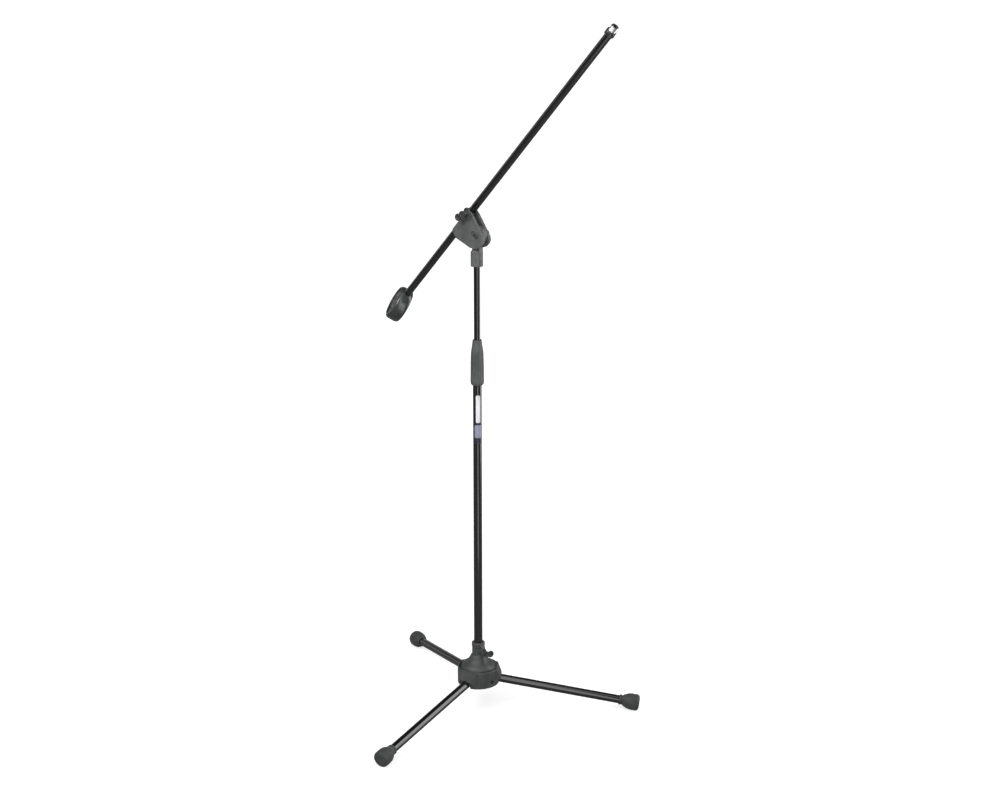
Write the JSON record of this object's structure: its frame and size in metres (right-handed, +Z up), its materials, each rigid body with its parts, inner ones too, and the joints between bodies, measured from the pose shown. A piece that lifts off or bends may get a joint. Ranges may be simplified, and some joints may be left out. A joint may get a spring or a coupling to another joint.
{
  "type": "boom microphone stand",
  "caption": "Tripod microphone stand with folding legs, a telescoping column with a twist clutch, and a tilting, sliding, counterweighted boom ending in a threaded tip.",
  "frame": {"origin": "on the floor plane, on the axis of the column", "axes": "+Z up along the column, +X the horizontal direction in which the raised end of the boom points"},
  "size_m": [0.7052, 0.5951, 1.5378],
  "materials": {
    "black_tube": "gloss black enamel on steel tube",
    "hub_plastic": "satin moulded plastic, dark grey",
    "clamp_plastic": "satin moulded plastic, dark grey",
    "grip_plastic": "satin moulded plastic, dark grey",
    "knob_plastic": "satin moulded plastic, near black",
    "inner_plastic": "plain black nylon",
    "foot_rubber": "dark grey moulded rubber",
    "tip_collar_black": "black enamel on turned metal",
    "thread_steel": "bright zinc plate",
    "black_steel": "black oxide on steel",
    "insert_brass": "turned brass",
    "weight_iron": "cast iron",
    "weight_cover": "dark grey moulded cover",
    "mark_white": "plain white print",
    "mark_blue": "plain grey-blue print"
  },
  "bodies": {
    "hub": {"hub_body": "hub_plastic", "hub_lock_insert": "insert_brass", "leg_pivot_pins": "thread_steel"},
    "hub_lock": {"hub_lock_screw": "thread_steel", "hub_lock_wing": "knob_plastic"},
    "column": {"lower_tube": "black_tube", "lower_tube_plug": "inner_plastic", "tube_mark_bar": "mark_white", "tube_mark_panel": "mark_blue", "clutch_collar": "inner_plastic"},
    "clutch": {"clutch_grip": "grip_plastic"},
    "swivel": {"clutch_collet": "inner_plastic"},
    "mast": {"upper_tube": "black_tube", "upper_glide": "inner_plastic", "mast_socket": "clamp_plastic", "socket_screw": "thread_steel", "friction_washers": "thread_steel"},
    "clamp": {"clamp_plate_near": "clamp_plastic", "clamp_plate_far": "clamp_plastic", "pivot_bolt": "black_steel", "knob_washer": "thread_steel", "boom_lock_insert": "insert_brass"},
    "tilt_lock": {"tilt_knob": "knob_plastic", "tilt_insert": "insert_brass"},
    "boom_lock": {"boom_lock_screw": "thread_steel", "boom_lock_wing": "knob_plastic"},
    "liner": {"boom_liner": "inner_plastic"},
    "boom": {"boom_tube": "black_tube", "tip_collar": "tip_collar_black", "tip_thread": "thread_steel", "counterweight_core": "weight_iron", "counterweight_cover": "weight_cover", "counterweight_screw": "thread_steel"},
    "leg_1": {"leg_tube_1": "black_tube", "leg_plug_1": "inner_plastic", "foot_cap_1": "foot_rubber"},
    "leg_2": {"leg_tube_2": "black_tube", "leg_plug_2": "inner_plastic", "foot_cap_2": "foot_rubber"},
    "leg_3": {"leg_tube_3": "black_tube", "leg_plug_3": "inner_plastic", "foot_cap_3": "foot_rubber"}
  },
  "joints": [
    {"name": "leg_fold_1", "type": "hinge", "parent": "hub", "child": "leg_1", "pos_m": [0.02622, 0.02004, 0.0702], "axis": [-0.6074, 0.7944, 0], "range_deg": [0, 81]},
    {"name": "leg_fold_2", "type": "hinge", "parent": "hub", "child": "leg_2", "pos_m": [-0.03047, 0.01268, 0.0702], "axis": [-0.3843, -0.9232, 0], "range_deg": [0, 81]},
    {"name": "leg_fold_3", "type": "hinge", "parent": "hub", "child": "leg_3", "pos_m": [0.00425, -0.03272, 0.0702], "axis": [0.9917, 0.1288, 0], "range_deg": [0, 81]},
    {"name": "hub_lock_turn", "type": "hinge", "parent": "hub", "child": "hub_lock", "pos_m": [0.01968, -0.00358, 0.136], "axis": [0.9839, -0.1788, 0], "range_deg": [0, 270]},
    {"name": "column_slide", "type": "slide", "parent": "hub", "child": "column", "axis": [0, 0, 1], "range_m": [-0.34, 0]},
    {"name": "clutch_turn", "type": "hinge", "parent": "column", "child": "clutch", "pos_m": [0, 0, 0.8], "axis": [0, 0, 1], "range_deg": [0, 180]},
    {"name": "mast_swivel", "type": "hinge", "parent": "column", "child": "swivel", "pos_m": [0, 0, 0.82], "axis": [0, 0, 1], "continuous": true},
    {"name": "height_slide", "type": "slide", "parent": "swivel", "child": "mast", "axis": [0, 0, 1], "range_m": [-0.155, 0.33]},
    {"name": "boom_tilt", "type": "hinge", "parent": "mast", "child": "clamp", "pos_m": [0.005, 0, 1.082], "axis": [0, -1, 0], "range_deg": [-85, 22]},
    {"name": "tilt_knob_turn", "type": "hinge", "parent": "clamp", "child": "tilt_lock", "pos_m": [0.005, 0.018, 1.082], "axis": [0, 1, 0], "range_deg": [0, 270]},
    {"name": "boom_lock_turn", "type": "hinge", "parent": "clamp", "child": "boom_lock", "pos_m": [-0.01707, -0.018, 1.12702], "axis": [0, -1, 0], "range_deg": [0, 270]},
    {"name": "boom_roll", "type": "hinge", "parent": "clamp", "child": "liner", "pos_m": [-0.02931, 0, 1.11383], "axis": [0.6801, 0, 0.7331], "continuous": true},
    {"name": "boom_slide", "type": "slide", "parent": "liner", "child": "boom", "axis": [0.6801, 0, 0.7331], "range_m": [-0.45, 0.2]}
  ]
}
